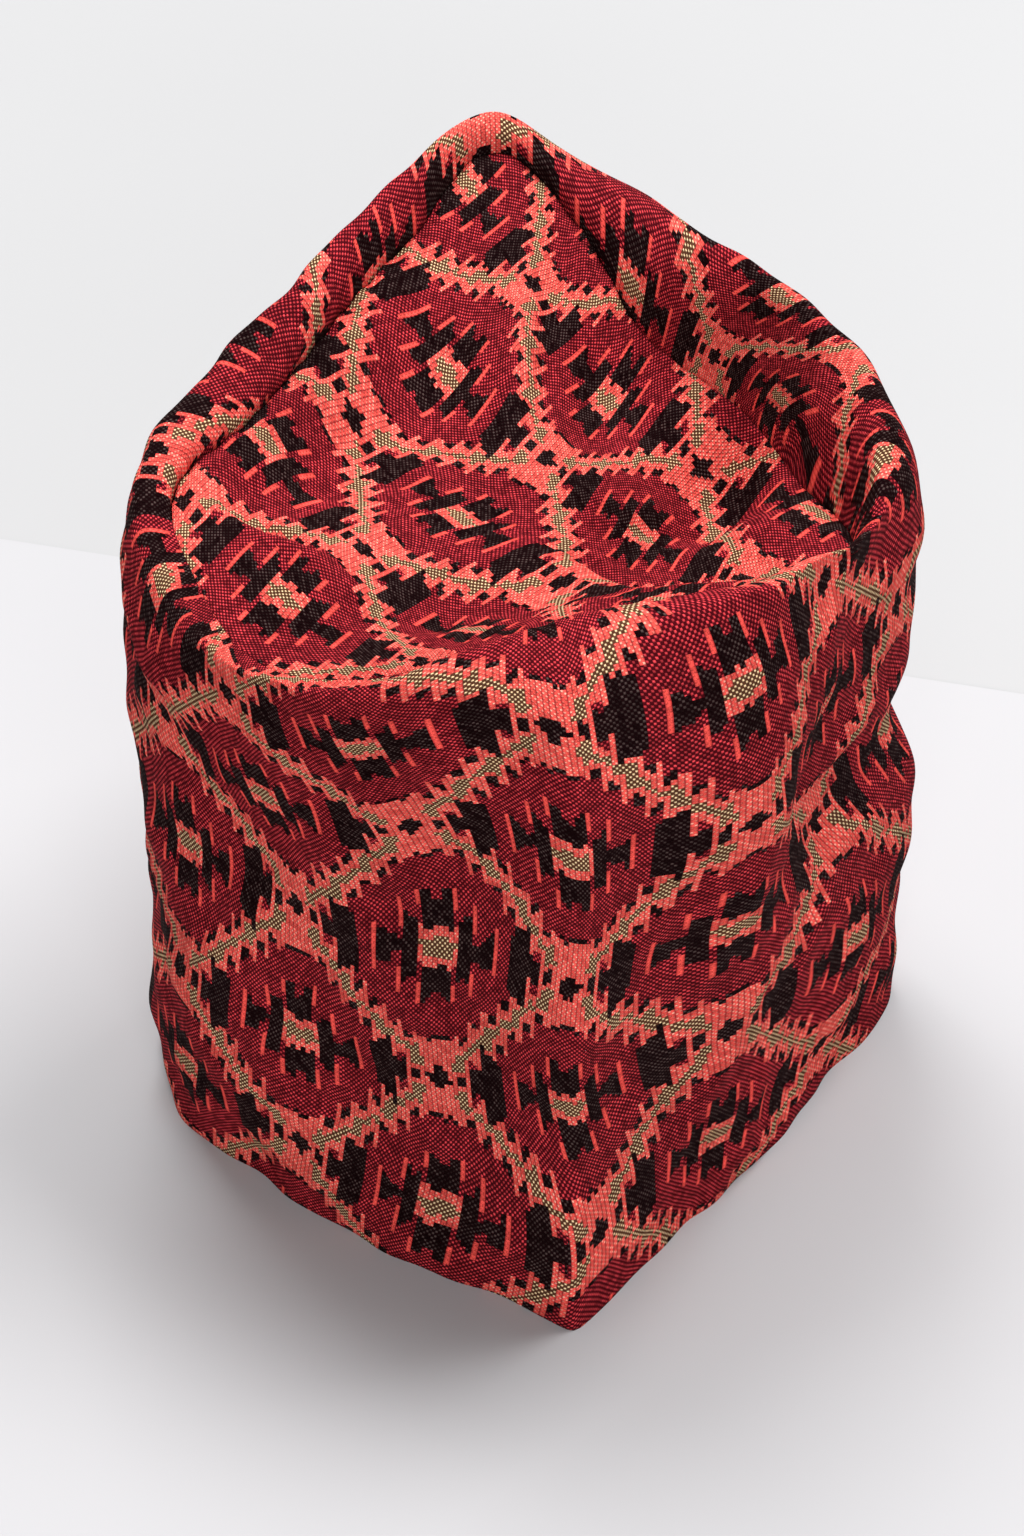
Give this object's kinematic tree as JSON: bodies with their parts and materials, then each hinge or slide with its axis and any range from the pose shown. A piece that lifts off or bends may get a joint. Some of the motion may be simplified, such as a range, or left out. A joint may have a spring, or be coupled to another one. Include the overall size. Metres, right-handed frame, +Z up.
{
  "type": "soft cloth cap",
  "caption": "Tall soft brimless cap of patterned woven cloth: an open tube around the head, creased down the front, with a sunken crown panel inside a rolled top edge.",
  "frame": {"origin": "middle of the cap's foot: the centre of its bounding box seen from above, on the plane that the rim stands on", "axes": "+Z up the cap from the open rim to the crown, -Y towards the creased front corner, +X to the right of someone who looks at that corner"},
  "size_m": [0.195, 0.22, 0.2147],
  "materials": {
    "wall_cloth": "thick woven cloth with a diamond lattice in coral, maroon, black and cream, matt with a slight sheen",
    "crown_cloth": "the same woven cloth, its lattice turned with the panel"
  },
  "bodies": {
    "root": {"side_wall": "wall_cloth", "crown": "crown_cloth"}
  },
  "joints": []
}
